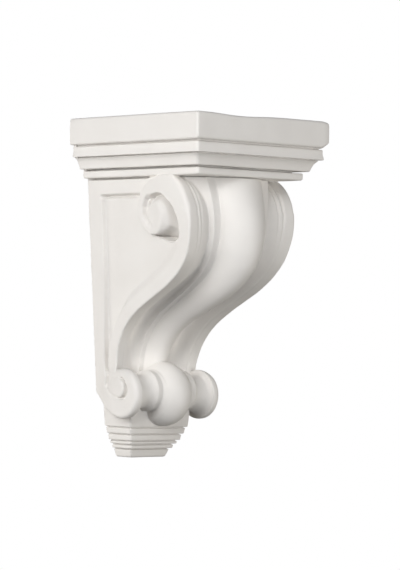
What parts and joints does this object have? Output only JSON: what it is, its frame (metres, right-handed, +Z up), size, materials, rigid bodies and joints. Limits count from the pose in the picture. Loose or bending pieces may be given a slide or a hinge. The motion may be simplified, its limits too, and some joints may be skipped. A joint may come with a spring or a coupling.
{
  "type": "scroll corbel",
  "caption": "Moulded polyurethane scroll corbel with a stepped cap, volutes on both sides, a turned spindle and a stepped foot, fixed flat to a wall under a shelf, mantel or soffit.",
  "frame": {"origin": "centre of the flat back face, where the corbel meets the wall, at half its height", "axes": "+Y into the wall, so the scroll faces -Y; +X to the viewer's right of the front; +Z up"},
  "size_m": [0.1906, 0.1905, 0.3556],
  "materials": {
    "primed_polyurethane": "warm white factory primer, satin"
  },
  "bodies": {
    "root": {"corbel": "primed_polyurethane"}
  },
  "joints": []
}
